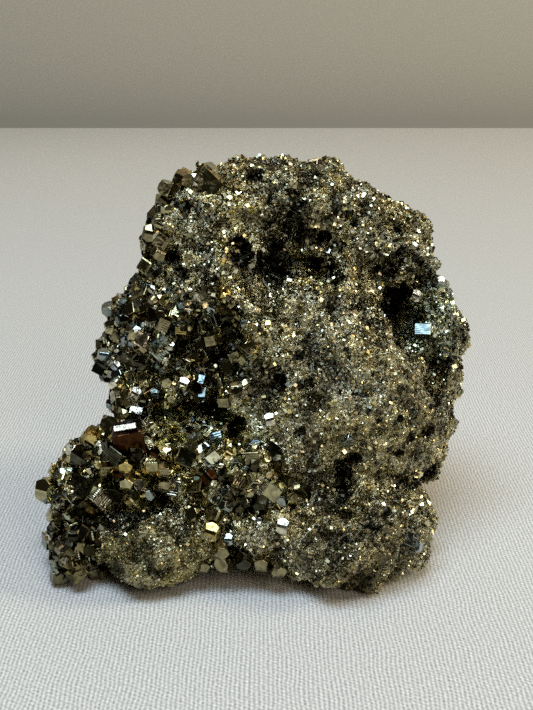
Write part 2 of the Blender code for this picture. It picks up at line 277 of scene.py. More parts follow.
def joined(name, forms, places, turns, halves, tones, grooved, dull, material):
    """One mesh of closed crystals, each with a form, a place, a rotation, three half widths and a
    tone, with 1 where its faces are grooved, and with how dull it is."""
    forms = np.array(forms)
    corners, face_sizes, loop_corners, grooves, colors, dulls = [], [], [], [], [], []
    offset = 0
    for form, (shape, faces, lines) in FORMS.items():
        own = np.flatnonzero(forms == form)
        if not len(own):
            continue
        stretched = shape[None] * halves[own][:, None]
        turned = np.einsum("nij,nkj->nki", turns[own], stretched) + places[own][:, None]
        starts = offset + np.arange(len(own))[:, None] * len(shape)
        corners.append(turned.reshape(-1, 3))
        loop_corners.append((starts + np.concatenate(faces)).ravel())
        face_sizes.append(np.tile([len(face) for face in faces], len(own)))
        wide = grooved[own] * halves[own].mean(axis=1) / MM
        grooves.append((wide[:, None] * lines).ravel())
        colors.append(np.repeat(tones[own], len(shape), axis=0))
        dulls.append(np.repeat(dull[own], len(shape)))
        offset += len(own) * len(shape)
    corners = np.concatenate(corners)
    loop_corners = np.concatenate(loop_corners)
    face_sizes = np.concatenate(face_sizes)
    mesh = bpy.data.meshes.new(name)
    mesh.vertices.add(len(corners))
    mesh.vertices.foreach_set("co", corners.ravel())
    mesh.loops.add(len(loop_corners))
    mesh.loops.foreach_set("vertex_index", loop_corners)
    mesh.polygons.add(len(face_sizes))
    mesh.polygons.foreach_set("loop_start", np.concatenate([[0], np.cumsum(face_sizes)[:-1]]))
    mesh.update(calc_edges=True)
    mesh.shade_flat()
    paint(mesh, "tone", np.concatenate(colors))
    paint(mesh, "dull", np.concatenate(dulls))
    layer = mesh.attributes.new("groove", "FLOAT", "CORNER")
    layer.data.foreach_set("value", np.concatenate(grooves))
    mesh.materials.append(material)
    made = bpy.data.objects.new(name, mesh)
    bpy.context.scene.collection.objects.link(made)
    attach(made, "root")


# Pyrite is a metal to the eye: pale brass where it is fresh, and olive, brown or nearly black where
# a film of tarnish or dirt lies on it. These are the colours that its faces reflect.
TONES = {
    "pale": linear("#D8D2BA")[:3],
    "brass": linear("#AEA67E")[:3],
    "gold": linear("#B8A566")[:3],
    "tan": linear("#948A68")[:3],
    "steel": linear("#A2AAA6")[:3],
    "slate": linear("#707C78")[:3],
    "rust": linear("#382110")[:3],
    "dark": linear("#4C4938")[:3],
}


def facet_normal(tree, facet, tilt):
    """Leans the surface by a random amount in each cell of a pattern, as small facets do."""
    place = add_node(tree, "ShaderNodeTexCoord").outputs["Object"]
    cells = {"Vector": place, "Scale": 1 / facet}
    cells = add_node(tree, "ShaderNodeTexVoronoi", None, cells).outputs["Color"]
    centred = {0: cells, 1: (0.5, 0.5, 0.5)}
    lean = add_node(tree, "ShaderNodeVectorMath", {"operation": "SUBTRACT"}, centred).outputs[0]
    surface = add_node(tree, "ShaderNodeNewGeometry").outputs["Normal"]
    inputs = {0: lean, 1: (tilt, tilt, tilt), 2: surface}
    leaned = add_node(tree, "ShaderNodeVectorMath", SCALE_AND_SHIFT, inputs).outputs[0]
    unit = add_node(tree, "ShaderNodeVectorMath", {"operation": "NORMALIZE"}, {0: leaned})
    return unit.outputs[0]


# Crystal faces: nearly a mirror, stepped into plates a millimetre or so wide that lean a little,
# under a thin film that dulls them in patches. The grooves are drawn far enough apart to show.
PLATE_WIDTH, PLATE_TILT = 1.3 * MM, 0.12
FILM_WIDTH = 1.1 * MM
GROOVE_SPACING, GROOVE_DEPTH = 0.4, 0.012 * MM
DENT_WIDTH, DENT_DEPTH = 0.9 * MM, 0.1 * MM
pyrite_face, tree, shader = new_material("pyrite crystal face")
place = add_node(tree, "ShaderNodeTexCoord").outputs["Object"]
tone = add_node(tree, "ShaderNodeAttribute", {"attribute_name": "tone"})
patchy = {"Vector": place, "Scale": 1 / FILM_WIDTH, "Detail": 4.0}
patchy = add_node(tree, "ShaderNodeTexNoise", None, patchy).outputs["Fac"]
film = {"Value": patchy, "From Min": 0.38, "From Max": 0.58}
clean = add_node(tree, "ShaderNodeMapRange", None, film | {"To Min": 0.62, "To Max": 1.08})
filmed = {0: tone.outputs["Color"], "Scale": clean.outputs[0]}
filmed = add_node(tree, "ShaderNodeVectorMath", {"operation": "SCALE"}, filmed)
tree.links.new(filmed.outputs[0], shader.inputs["Base Color"])
shader.inputs["Metallic"].default_value = 1
rough = add_node(tree, "ShaderNodeMapRange", None, film | {"To Min": 0.26, "To Max": 0.08})
tree.links.new(rough.outputs[0], shader.inputs["Roughness"])
groove = add_node(tree, "ShaderNodeAttribute", {"attribute_name": "groove"}).outputs["Fac"]
ridges = {0: groove, 1: math.tau / GROOVE_SPACING}
ridges = add_node(tree, "ShaderNodeMath", TIMES, ridges).outputs[0]
ridges = add_node(tree, "ShaderNodeMath", SINE, {0: ridges}).outputs[0]
plates = facet_normal(tree, PLATE_WIDTH, PLATE_TILT)
grooved = {"Strength": 0.5, "Distance": GROOVE_DEPTH, "Height": ridges, "Normal": plates}
grooved = add_node(tree, "ShaderNodeBump", None, grooved).outputs["Normal"]
dents = {"Vector": place, "Scale": 1 / DENT_WIDTH, "Detail": 2.0}
dents = add_node(tree, "ShaderNodeTexNoise", None, dents).outputs["Fac"]
dented = {"Strength": 0.6, "Distance": DENT_DEPTH, "Height": dents, "Normal": grooved}
dented = add_node(tree, "ShaderNodeBump", None, dented)
tree.links.new(dented.outputs["Normal"], shader.inputs["Normal"])

# The places in the tables are measured from a point 3.3 mm behind the middle of the base.
DATUM = Vector((0, 3.3, 0)) * MM

# Crystals placed one by one: x, y, z, width, then turn to the right, tilt upwards and roll of the
# face that looks to the front, the crystal's form and tone, and 1 where its faces are grooved.
# Tones match how each front face looks: partly painted highlights, reflections and shade.
PLACED_CRYSTALS = (
    (-21.6, -18.5, 24.4, (5.0, 5.0, 4.2), 5, -6, -12, "cube", "rust", 0),
    (-22.0, -20.9, 27.1, (3.7, 1.2, 0.9), -6, 42, -12, "cube", "pale", 1),
    (-23.6, -21.2, 22.4, (2.6, 2.4, 2.4), -25, 10, 25, "cube", "dark", 1),
    (-20.4, -21.4, 22.6, 2.2, 25, 15, 10, "cut_corner", "dark", 0),
    (-28.6, -14.5, 22.8, 3.4, -14, -21, 40, "pyritohedron", "gold", 1),
    (-25.6, -13.5, 24.6, 3.0, 0, 26, 15, "cut_corner", "tan", 0),
    (-31.8, -14.5, 20.4, 2.4, 39, 9, 0, "cut_corner", "pale", 0),
    (-29.8, -16.5, 19.6, 3.6, -35, -10, 20, "cube", "dark", 0),
    (-34.4, -14.5, 16.4, (2.4, 2.6, 2.8), -12, 36, 8, "cube", "tan", 1),
    (-37.0, -14.0, 12.6, 4.2, -30, 10, 0, "pyritohedron", "brass", 0),
    (-34.8, -17.5, 9.6, 3.8, -8, -21, 30, "pyritohedron", "brass", 0),
    (-29.4, -20.2, 16.2, 3.6, -40, 20, 0, "cube", "dark", 0),
    (-22.3, -21.0, 20.4, 3.0, 5, -22, 10, "pyritohedron", "gold", 1),
    (-24.8, -18.8, 22.0, 3.2, 40, 20, 10, "cube", "dark", 0),
    (-17.6, -19.4, 22.2, 2.2, 10, 0, 35, "pyritohedron", "rust", 0),
    (-22.0, -21.4, 17.4, 3.0, -5, -20, 10, "pyritohedron", "brass", 0),
    (-16.2, -20.0, 16.4, 2.8, 8, -20, 24, "pyritohedron", "tan", 0),
    (-15.7, -20.9, 19.4, 2.4, 12, -20, 15, "pyritohedron", "tan", 1),
    (-14.0, -19.5, 15.2, (2.0, 2.6, 2.8), -12, 36, 5, "cube", "pale", 1),
    (-11.0, -18.8, 19.4, (2.4, 2.4, 1.4), -2, 36, -25, "cube", "tan", 1),
    (-6.8, -14.0, 21.9, (2.0, 2.4, 2.6), -14, 37, -20, "cube", "slate", 1),
    (-0.6, -19.2, 23.6, (2.4, 2.0, 1.3), -2, 36, 12, "cube", "slate", 1),
    (2.3, -18.8, 27.9, 2.2, -4, 18, -15, "pyritohedron", "pale", 0),
    (-35.2, -21.8, 7.0, 2.0, 39, 9, 0, "cut_corner", "pale", 0),
    (-7.4, -27.4, 11.3, 3.2, -6, 17, 15, "pyritohedron", "gold", 0),
    (-4.6, -27.6, 9.9, 2.0, -8, 18, 0, "pyritohedron", "steel", 0),
    (-6.0, -28.2, 8.2, 3.0, 0, -20, 40, "pyritohedron", "tan", 0),
    (4.4, -28.0, 12.6, 2.6, -6, 18, 10, "pyritohedron", "pale", 0),
    (3.1, -24.2, 17.2, 2.6, -20, 5, 30, "cube", "brass", 0),
    (5.7, -23.7, 15.5, 2.6, 20, 0, 10, "pyritohedron", "brass", 0),
    (-12.8, -9.5, 30.9, 2.4, -6, 17, 20, "pyritohedron", "pale", 0),
    (-15.0, -9.2, 37.8, 1.6, -6, 17, 20, "pyritohedron", "pale", 0),
    (-17.8, -10.8, 29.5, 1.8, -6, 17, -10, "pyritohedron", "slate", 0),
    (-9.6, -9.5, 29.0, (1.2, 1.8, 1.8), -6, 42, 0, "cube", "slate", 0),
    (-16.2, -9.5, 31.0, (2.3, 2.6, 3.4), 5, -20, 20, "pyritohedron", "brass", 1),
    (-14.9, -10.8, 28.6, (2.0, 2.4, 2.6), -10, -21, 10, "pyritohedron", "brass", 1),
    (-13.0, -8.6, 33.2, (2.0, 2.4, 2.8), -10, -21, 75, "pyritohedron", "brass", 0),
    (-9.8, -8.4, 30.8, (1.1, 2.0, 2.0), -6, 42, 8, "cube", "slate", 0),
    (-21.3, -9.2, 39.8, (2.0, 2.2, 2.6), -5, -20, 20, "pyritohedron", "brass", 0),
    (-20.2, -9.5, 37.6, 2.2, 0, -20, 50, "pyritohedron", "tan", 1),
    (-16.2, -8.8, 41.6, (2.0, 2.4, 2.4), 0, 2, 25, "cube", "tan", 1),
    (-13.3, -6.6, 40.2, (2.0, 2.0, 1.6), 0, 5, 5, "cube", "gold", 1),
    (-8.2, -5.5, 37.9, (2.2, 2.2, 1.8), 5, 0, -10, "cube", "tan", 1),
    (-6.3, -6.4, 40.2, 2.0, 39, 9, 0, "cut_corner", "brass", 0),
    (-14.0, -7.4, 43.6, (2.2, 2.2, 1.6), -4, 38, -25, "cube", "brass", 1),
    (-7.7, -7.0, 44.2, 2.2, -4, 17, 20, "pyritohedron", "steel", 0),
    (-16.6, -7.4, 45.7, 2.0, 39, 9, 0, "cut_corner", "brass", 0),
    (-21.3, -10.3, 29.4, 2.4, -2, 17, 30, "pyritohedron", "pale", 0),
    (-21.1, -11.6, 26.4, (2.2, 2.2, 1.2), 0, 38, 10, "cube", "pale", 0),
    (28.9, -8.2, 40.2, (2.6, 2.0, 2.0), -6, 42, 0, "cube", "slate", 1),
    (28.2, -3.2, 45.2, 2.2, -6, 17, 20, "pyritohedron", "pale", 0),
    (-8.4, -2.2, 65.0, 5.4, -10, 6, 42, "edged_cube", "brass", 0),
    (-12.6, -3.4, 66.0, 3.0, -30, 30, 15, "pyritohedron", "tan", 0),
    (-10.4, -4.6, 66.2, 2.0, 39, 9, 0, "cut_corner", "pale", 0),
    (-15.8, -3.2, 62.8, 3.0, -30, 26, 30, "pyritohedron", "tan", 0),
    (-15.8, -4.4, 65.0, 2.2, -20, 5, 20, "cut_corner", "brass", 0),
    (-15.4, -5.4, 61.4, 2.0, 20, -20, 0, "pyritohedron", "brass", 0),
    (10.4, -1.8, 67.6, (1.8, 2.2, 2.8), 39, 9, -20, "cut_corner", "pale", 0),
    (-16.6, -5.0, 58.8, 2.6, -10, -20, 25, "pyritohedron", "brass", 0),
    (-18.2, -4.6, 56.8, 3.0, -6, 17, 10, "pyritohedron", "tan", 0),
    (-16.4, -5.8, 55.8, 2.4, 5, 5, 35, "cube", "tan", 0),
    (-16.8, -6.2, 53.6, 2.8, 20, 22, 30, "pyritohedron", "tan", 0),
    (-18.0, -5.2, 50.6, 3.0, -20, 20, 40, "pyritohedron", "dark", 0),
    (32.0, -0.6, 46.8, 2.2, 30, 0, 10, "pyritohedron", "steel", 0),
    (25.5, -26.6, 9.4, 2.2, 20, 25, 30, "cube", "steel", 0),
    (27.0, -26.0, 7.8, 1.8, -30, 20, 0, "cut_corner", "steel", 0),
    (15.2, -20.8, 25.0, 2.0, 20, -22, 45, "cut_corner", "steel", 0),
    (-9.0, -28.2, 5.2, 2.2, 14, -18, 20, "pyritohedron", "tan", 0),
    (-5.4, -28.2, 5.8, 2.4, -25, 10, 10, "cut_corner", "tan", 0),
    (-2.2, -27.8, 6.4, 3.2, 20, -5, 35, "pyritohedron", "dark", 1),
    (1.0, -28.4, 6.0, 3.0, -10, -20, 0, "pyritohedron", "tan", 0),
    (3.8, -29.2, 5.0, 2.4, 15, -20, 20, "pyritohedron", "tan", 0),
)

# Pushes that bring the bumps and hollows of the outline to their places: x, y, z and radius, then
# how far the middle of the push moves along x, y and z.
PUSHES = (
    (-3, -1, 69, 4, 0, 0, -1.3),
    (-22, -2.5, 49, 4.5, 1.8, 0, 0),
    (-28.5, -3, 36.5, 3, 0.8, 0, 0),
    (-27, -6, 27, 5.5, 2.2, 0, 0),
    (-36.5, -14, 18, 4.5, 0.7, 0, -0.4),
    (-37.5, -19, 7, 5, 1, 0, 0),
    (-34.5, -22, 2, 5, 1.2, 0, 1.2),
    (-27, -27, 2.5, 3.5, 0, 1.8, 1.8),
    (-12.5, -31, 3, 5, 0, 0.3, 0.9),
    (8, -30, 3, 5, 0, 0, 0.9),
    (24, -30, 4, 5, -1.4, 1, 1.6),
    (32, -18, 9.5, 5, -1, 0, 0),
    (-25.5, -1.5, 42.5, 4.5, -1.8, 0, 0.6),
    (-28.5, -4, 32, 3, -1.6, 0, 0),
    (-30.5, -12, 22.5, 3.5, -1.2, 0, 1.7),
    (18.5, -28.5, 1.5, 4.5, 0, -2, 0),
    (28.5, -23, 3.5, 4.5, 0.5, -0.7, -1.4),
    (32.5, -5, 12, 5.5, 0.4, -0.6, -1.5),
    (36, -3.5, 20, 6, 1.1, 0, 0),
    (37, -1.5, 28.5, 4, 0.8, 0, 0),
    (38.7, 0, 36.2, 3.5, 0.7, 0, 0.3),
    (33, 1.5, 46.5, 4, 0.8, 0, 0.9),
    (28.5, 0, 60.5, 5.5, 0.5, 0, 1.1),
    (13.5, -1, 68, 4.5, 0, 0, 1),
    (-17.5, -3, 63.5, 4.5, 0.9, 0, -0.8),
)


def pushed(points):
    """The points where the pushes leave them."""
    moved = points.copy()
    for x, y, z, radius, *push in PUSHES:
        middle = np.array((x, y, z)) * MM + np.array(DATUM)
        away = np.linalg.norm(points - middle, axis=1) / (radius * MM)
        moved += (np.clip(1 - away**2, 0, 1) ** 2)[:, None] * np.array(push) * MM
    return moved


# What coats and shades are laid on: lumps of the mass, and the hollows sunk into it, each by its
# centre x, y, z and radii.
LUMPS = {
    "druse wall": (-17.2, -1, 38, 8.8, 9, 10),
    "druse lobe": (-25, 0, 33, 4.3, 7, 5.2),
    "druse sill": (-20.5, -4, 26, 6.5, 7.5, 6.5),
    "foot top": (-21.5, -13, 17.5, 8, 8.5, 7.2),
    "foot crest": (-26.5, -12, 18.5, 5, 6, 4.8),
    "foot left": (-30.2, -14, 13.5, 5.6, 7, 6),
    "foot knob": (-35, -13.5, 12.5, 3, 3, 2.8),
    "foot lobe": (-30.8, -21, 5.2, 5.3, 7, 5.8),
    "foot neck": (-2.5, -14, 15, 12, 12, 10),
    "top knob": (-15.5, -1, 62.5, 4, 5, 4.5),
    "left rim": (-18.5, -1, 54.5, 4, 6, 7),
}
VUGS = {
    "main vug": (8, -10, 53.5, 8, 6, 4.5),
    "main vug foot": (2, -12, 48.5, 3, 5, 4),
    "band pit": (-3.5, -11.5, 50, 2.6, 4, 2.2),
    "druse hollow": (-9.5, -13, 38.5, 8.5, 8.5, 9.5),
    "druse pocket": (-8.5, -12, 25.5, 8, 8, 4),
    "side hole": (25.3, -6, 42.3, 3, 9, 5),
    "side groove": (31, -9, 32, 2.4, 5, 7),
    "shoulder hole": (25.5, -7.5, 48.5, 4.5, 4, 2.6),
    "front pit": (16.5, -25, 17, 3.2, 6, 4.2),
    "foot gap": (-24, -24.5, 11.8, 5, 4, 1.8),
}

# Coats of crystals: the lump or vug that the coat grows on, the way it faces, its half angle, how
# many it has, and their smallest and largest width.
CRYSTAL_COATS = (
    ("druse wall", (-0.6, -1, 0.2), 80, 22, 1.6, 2.5),
    ("druse hollow", (0.1, 1, 0.1), 60, 20, 1.6, 2.4),
    ("druse lobe", (-0.7, -0.7, 0.1), 80, 12, 1.5, 2.2),
    ("druse sill", (-0.5, -1, 0.2), 75, 12, 1.8, 3.0),
    ("foot top", (0, -0.9, 0.6), 80, 16, 2.0, 3.2),
    ("foot left", (-0.6, -0.8, 0.4), 80, 12, 2.0, 3.4),
    ("foot lobe", (-0.7, -0.7, 0.3), 80, 10, 1.8, 2.8),
    ("foot neck", (-0.3, -1, 0.5), 70, 16, 1.8, 2.9),
)
COAT_FORMS = ("cube", "pyritohedron", "pyritohedron", "cut_corner")
COAT_TONES = ("brass", "tan", "tan", "dark", "dark", "steel")
# A coat's crystals stand this far out in their lump, as a share of its radii, and keep out of the
# inner part of every vug. They keep this share of both widths away from a listed crystal.
CRYSTAL_SEAT = 0.95
VUG_CLEARANCE = 0.9
CROWDING = 0.52
GOLDEN_ANGLE = math.pi * (3 - math.sqrt(5))


def beside_a_placed_crystal(place, width):
    """Whether a crystal at the place would crowd one of the listed crystals."""
    for x, y, z, placed_width, *_ in PLACED_CRYSTALS:
        if (place - Vector((x, y, z))).length < CROWDING * (width + np.max(placed_width)):
            return True
    return False


def in_a_vug(place):
    """Whether the place is in the air of a vug."""
    for x, y, z, *radii in VUGS.values():
        away = [(a - b) / radius for a, b, radius in zip(place, (x, y, z), radii)]
        if Vector(away).length < VUG_CLEARANCE:
            return True
    return False


def coat_sites(chance):
    """Yields the place and width of each member of each coat that isn't in the air of a vug and
    doesn't crowd a listed crystal."""
    for ground, facing, half_angle, count, narrowest, widest in CRYSTAL_COATS:
        sunk = CRYSTAL_SEAT
        if ground in VUGS:
            sunk = 2 - CRYSTAL_SEAT
        x, y, z, *radii = (LUMPS | VUGS)[ground]
        turn = Vector(facing).to_track_quat("Z", "Y")
        for i in range(count):
            lean = math.radians(half_angle) * math.sqrt((i + 0.5) / count)
            around = i * GOLDEN_ANGLE
            aside = math.sin(lean)
            out = Vector((aside * math.cos(around), aside * math.sin(around), math.cos(lean)))
            place = Vector((x, y, z)) + Vector(radii) * (turn @ out) * sunk
            width = chance.uniform(narrowest, widest)
            if not in_a_vug(place) and not beside_a_placed_crystal(place, width):
                yield place, width


# Pits that break through the crust: x, y, z and half width.
PITS = (
    (0, -5.5, 67, 1.7), (-16, -3.5, 62.5, 1.5), (-12.5, -7.5, 62, 1.4), (-14.5, -6, 53, 1.5),
    (-13, -8.5, 50.5, 1.6), (-3, -10, 55.5, 2), (-2, -11, 54, 1.6), (2, -7, 52.5, 2.2),
    (3.5, -5.5, 50, 1.8), (12.5, -6.5, 51, 1.3), (14, -9, 50, 1.4), (15, -7, 60.5, 1),
    (24.5, -4.5, 57, 1.3), (24, -6.5, 52, 1.9), (25.5, -6.5, 53, 1.8), (28.5, -4.5, 51.5, 1.3),
    (23.5, -4.5, 49.5, 1.5), (29, -2, 47.5, 1.4), (27.5, -8, 35.5, 1.4), (29.5, -10.5, 34.5, 1.4),
    (31, -6.5, 33, 1.3), (33.5, -7, 33.5, 1.3), (24.5, -18, 32.5, 1), (27.5, -16.5, 32, 0.9),
    (19, -21, 30, 0.8), (21, -20.5, 28, 0.7), (24, -19.5, 28, 1.1), (26.5, -18, 24, 1.2),
    (30, -15, 24, 1.3), (24, -19.5, 21.5, 1), (22.5, -20, 22.5, 0.9), (31.5, -6.5, 13, 1.8),
    (29, -13, 14.5, 1.6), (15, -17, 39.5, 0.8), (7, -17, 38.5, 1), (8.5, -19, 34, 1.4),
    (9.5, -20, 32.5, 1), (4, -17.5, 34, 1.3), (2.5, -17.5, 33.5, 1.1), (14.5, -20, 35, 0.7),
    (16.5, -20.5, 21, 1.5), (15, -20, 18, 1.9), (14.5, -21, 15.5, 1.6), (15, -25.5, 12.5, 1.5),
    (19, -29, 12.5, 0.9), (14.5, -31, 11, 0.9), (22, -27.5, 14, 1), (24.5, -29.5, 8.5, 1.1),
    (6, -25.5, 14.5, 1), (7.5, -27, 13.5, 0.9), (7.5, -21, 26.5, 1), (10, -5, 52, 1.8),
    (5.5, -7.5, 60, 1.7), (5, -6.5, 57, 2), (2.5, -5.5, 54, 2), (11, -6.5, 56.5, 1.6),
)
PIT_DEPTH = 1.9


def nearness(points, row, edge):
    """How far each point lies in an ellipsoid: 1 inside it, falling to 0 over the edge around it,
    which is a share of its radii."""
    centre = np.array(row[:3]) * MM + np.array(DATUM)
    away = np.linalg.norm((points - centre) / (np.array(row[3:]) * MM), axis=1)
    return np.clip((1 + edge - away) / edge, 0, 1)


# Painted shade that darkens the hollows: centre x, y, z and radii of each, and its darkness.
PAINTED_HOLLOW_SHADES = (
    (-2.6, -9.5, 54.4, 2.2, 4, 1.8, 0.95),
    (3.2, -6.5, 52.2, 3.0, 5, 4.0, 0.78),
    (7.4, -8, 57.2, 4.4, 4, 1.6, 0.9),
    (7.6, -7.6, 61.6, 2.2, 3, 1.2, 0.8),
    (7.2, -8, 58.5, 5, 4, 4, 0.2),
    (-9.5, -13, 38.5, 8.5, 8.5, 8.5, 0.1),
    (25.3, -5, 42.5, 2.6, 9, 4.8, 0.97),
    (31, -9, 32, 2.4, 5, 7, 0.2),
    (25.5, -7.5, 48.5, 4.5, 4, 2.6, 0.35),
    (14.6, -21, 17.6, 1.3, 4, 4.2, 0.9),
    (-24, -24.5, 11.8, 5, 4, 1.8, 0.9),
)
PIT_PAINTED_SHADE, PIT_SHADE_REACH = 0.93, 0.85
HOLLOW_SHADE_EDGE = 0.15
RAGGED, RAGGED_WIDTH = 1.2, 1.6
# The ragged edges follow this seed.
noise.seed_set(1)


def painted_hollow_shade(points):
    """How much painted shade darkens each point in the hollows and pits, from 0 to 1, with ragged
    edges.
    """
    waves = np.array([noise.noise_vector(p) for p in points / (RAGGED_WIDTH * MM)])
    points = points + RAGGED * MM * waves
    dark = np.zeros(len(points))
    for *row, depth in PAINTED_HOLLOW_SHADES:
        dark = np.maximum(dark, depth * nearness(points, row, HOLLOW_SHADE_EDGE))
    for x, y, z, radius in PITS:
        reach = radius * PIT_SHADE_REACH
        row = (x, y, z, reach, radius * PIT_DEPTH, reach)
        dark = np.maximum(dark, PIT_PAINTED_SHADE * nearness(points, row, HOLLOW_SHADE_EDGE))
    return dark


# Where the film leaves the pyrite darker, browner or brighter than it is elsewhere, and where
# painted
# light brightens it: centre x, y, z and radii, and the share of red, green and blue that is left.
FILM_AND_PAINTED_LIGHT_GROUNDS = (
    (-18, -31, 6, 10, 8, 7, (0.73, 0.71, 0.59)),
    (19, -29, 8, 9, 9, 7, (0.57, 0.54, 0.48)),
    (30, -12, 31, 9, 12, 13, (0.83, 0.82, 0.8)),
    (11, -22, 20, 8, 8, 9, (1.12, 1.1, 1.05)),
    (13, -6, 64, 9, 8, 6, (0.88, 0.88, 0.86)),
    # Painted light: brighter glints over the top band.
    (-7, -7, 61, 8, 6, 6, (1.25, 1.25, 1.25)),
    (-31, -22, 5, 6, 7, 6, (0.6, 0.6, 0.6)),
    # Painted light in the pocket under the druse, which the lamps hardly reach.
    (-8, -15, 23, 9, 8, 6, (1.5, 1.55, 1.55)),
    (-16, -6, 36, 9, 7, 8, (1.25, 1.25, 1.3)),
    (-5, -10, 49, 8, 8, 4, (1.3, 1.32, 1.42)),
    (-14, -7, 53, 5, 7, 6, (1.2, 1.2, 1.2)),
    (32, -3, 41, 4, 9, 7, (0.85, 1.0, 1.2)),
)
# Everywhere, patches of an olive and a grey film take turns.
OLIVE, GREY = np.array((1.05, 1.01, 0.85)), np.array((0.92, 0.94, 0.96))
PATCH_WIDTH, PATCH_CONTRAST = 7, 1.2


def film_and_painted_light(points):
    """The share of red, green and blue that the film and the painted light leave at each point."""
    patch = np.array([noise.noise(p) for p in points / (PATCH_WIDTH * MM)])
    film = GREY + np.clip(0.5 + PATCH_CONTRAST * patch, 0, 1)[:, None] * (OLIVE - GREY)
    for *row, left in FILM_AND_PAINTED_LIGHT_GROUNDS:
        film *= 1 + nearness(points, row, 0.5)[:, None] * (np.array(left) - 1)
    return film


# The foot, where the crystals are drawn brighter: its centre, its radii and its edge.
FOOT, FOOT_EDGE = (-25, -16, 17, 14, 14, 8), 0.3
# Crystals stand a little wider than the tables say, and one coat crystal in five has grooves.
PROUD = 1.04
GROOVED_SHARE = 0.2

rng = np.random.default_rng(5)
large = []
for x, y, z, width, turn, tilt, roll, form, tone, with_grooves in PLACED_CRYSTALS:
    turned = Matrix.Rotation(math.radians(turn), 3, "Z")
    tilted = Matrix.Rotation(math.radians(-tilt), 3, "X")
    rolled = Matrix.Rotation(math.radians(roll), 3, "Y")
    stood = turned @ tilted @ rolled
    large.append((form, Vector((x, y, z)), stood, np.ones(3) * width, tone, with_grooves))
chance = random.Random(8)
for place, width in coat_sites(chance):
    stood = Euler([chance.uniform(0, math.tau) for _ in range(3)]).to_matrix()
    form = chance.choice(COAT_FORMS)
    tone = rng.choice(COAT_TONES)
    with_grooves = rng.random() < GROOVED_SHARE
    large.append((form, place, stood, np.ones(3) * width, tone, with_grooves))
large_places = pushed(np.array([row[1] * MM + DATUM for row in large]))
large_turns = np.array([row[2] for row in large])
large_halves = np.array([row[3] for row in large]) / 2 * MM * PROUD
on_foot = nearness(large_places, FOOT, FOOT_EDGE)
# Painted shade darkens the crystals in the hollows, and those on the foot are drawn brighter.
shade = (1 - 0.6 * painted_hollow_shade(large_places)) * (1 + 0.15 * on_foot)
large_tones = np.array([TONES[row[4]] for row in large]) * shade[:, None]
in_coats = slice(len(PLACED_CRYSTALS), None)
fresh = rng.uniform(0.6, 1.0, (len(large) - len(PLACED_CRYSTALS), 1))
large_tones[in_coats] *= film_and_painted_light(large_places[in_coats]) * fresh
large_grooved = np.array([float(row[5]) for row in large])
joined(
    "large_crystals",
    [row[0] for row in large],
    large_places,
    large_turns,
    large_halves,
    large_tones,
    large_grooved,
    np.zeros(len(large)),
    pyrite_face,
)


# The crust. It is the mass between the large crystals: a finer copy of the solid, broken by pits
# and roughened to the millimetre lumps and half-millimetre grit of a granular aggregate. It dips
# under the large crystals, and painted shade, with dirt, darkens it in the crevices.
bpy.ops.object.select_all(action="DESELECT")
node = frame["nodes"]["pyrite_specimen"]
crust = node.copy()
crust.data = node.data.copy()
crust.name = "pyrite_crust"
crust.parent = None
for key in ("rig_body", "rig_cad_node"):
    del crust[key]
bpy.context.scene.collection.objects.link(crust)
bpy.context.view_layer.objects.active = crust
crust.select_set(True)
bpy.ops.object.mode_set(mode="EDIT")
bpy.ops.mesh.select_all(action="SELECT")
bpy.ops.mesh.remove_doubles(threshold=1e-6)
bpy.ops.object.mode_set(mode="OBJECT")


def apply_modifier(target, kind, **settings):
    """Adds a modifier with its settings and applies it."""
    bpy.context.view_layer.objects.active = target
    modifier = target.modifiers.new(kind.lower(), kind)
    for key, value in settings.items():
        setattr(modifier, key, value)
    bpy.ops.object.modifier_apply(modifier=modifier.name)


def displace(target, kind, width, relief, middle):
    """Raises the surface by a pattern of a width and a relief, from its middle level."""
    pattern = bpy.data.textures.new(kind.lower(), kind)
    pattern.noise_scale = width
    settings = {"texture": pattern, "texture_coords": "LOCAL"}
    apply_modifier(target, "DISPLACE", strength=relief, mid_level=middle, **settings)


def pit_cutter():
    """The pits as one mesh of small uneven ellipsoids."""
    chance = random.Random(4)
    balls = []
    for x, y, z, radius in PITS:
        bpy.ops.object.select_all(action="DESELECT")
        middle = Vector((x, y, z)) * MM + DATUM
        bpy.ops.mesh.primitive_ico_sphere_add(subdivisions=2, radius=radius * MM, location=middle)
        ball = bpy.context.object
        ball.scale = (chance.uniform(0.7, 1.3), PIT_DEPTH, chance.uniform(0.5, 1))
        ball.rotation_euler = (0, chance.uniform(-0.8, 0.8), 0)
        balls.append(ball)
    for ball in balls:
        ball.select_set(True)
    bpy.ops.object.join()
    return bpy.context.object


VOXEL = 0.55 * MM
cutter = pit_cutter()
cut = {"operation": "DIFFERENCE", "solver": "EXACT", "use_self": True}
apply_modifier(crust, "BOOLEAN", object=cutter, **cut)
bpy.data.objects.remove(cutter)
apply_modifier(crust, "REMESH", mode="VOXEL", voxel_size=VOXEL)
apply_modifier(crust, "SMOOTH", factor=0.5, iterations=6)
crust.data.vertices.foreach_set("co", pushed(vertex_places(crust.data)).ravel())
crust.data.update()
before = vertex_places(crust.data)
outward = np.empty(before.size)
crust.data.vertices.foreach_get("normal", outward)
displace(crust, "VORONOI", 4.6 * MM, -1.7 * MM, 0.35)
displace(crust, "VORONOI", 1.9 * MM, -0.9 * MM, 0.35)
displace(crust, "CLOUDS", 0.7 * MM, 0.7 * MM, 0.5)
points = vertex_places(crust.data)
sunk = np.einsum("ij,ij->i", before - points, outward.reshape(-1, 3)) / MM
cavity = np.clip((sunk - 0.1) / 0.9, 0, 1)

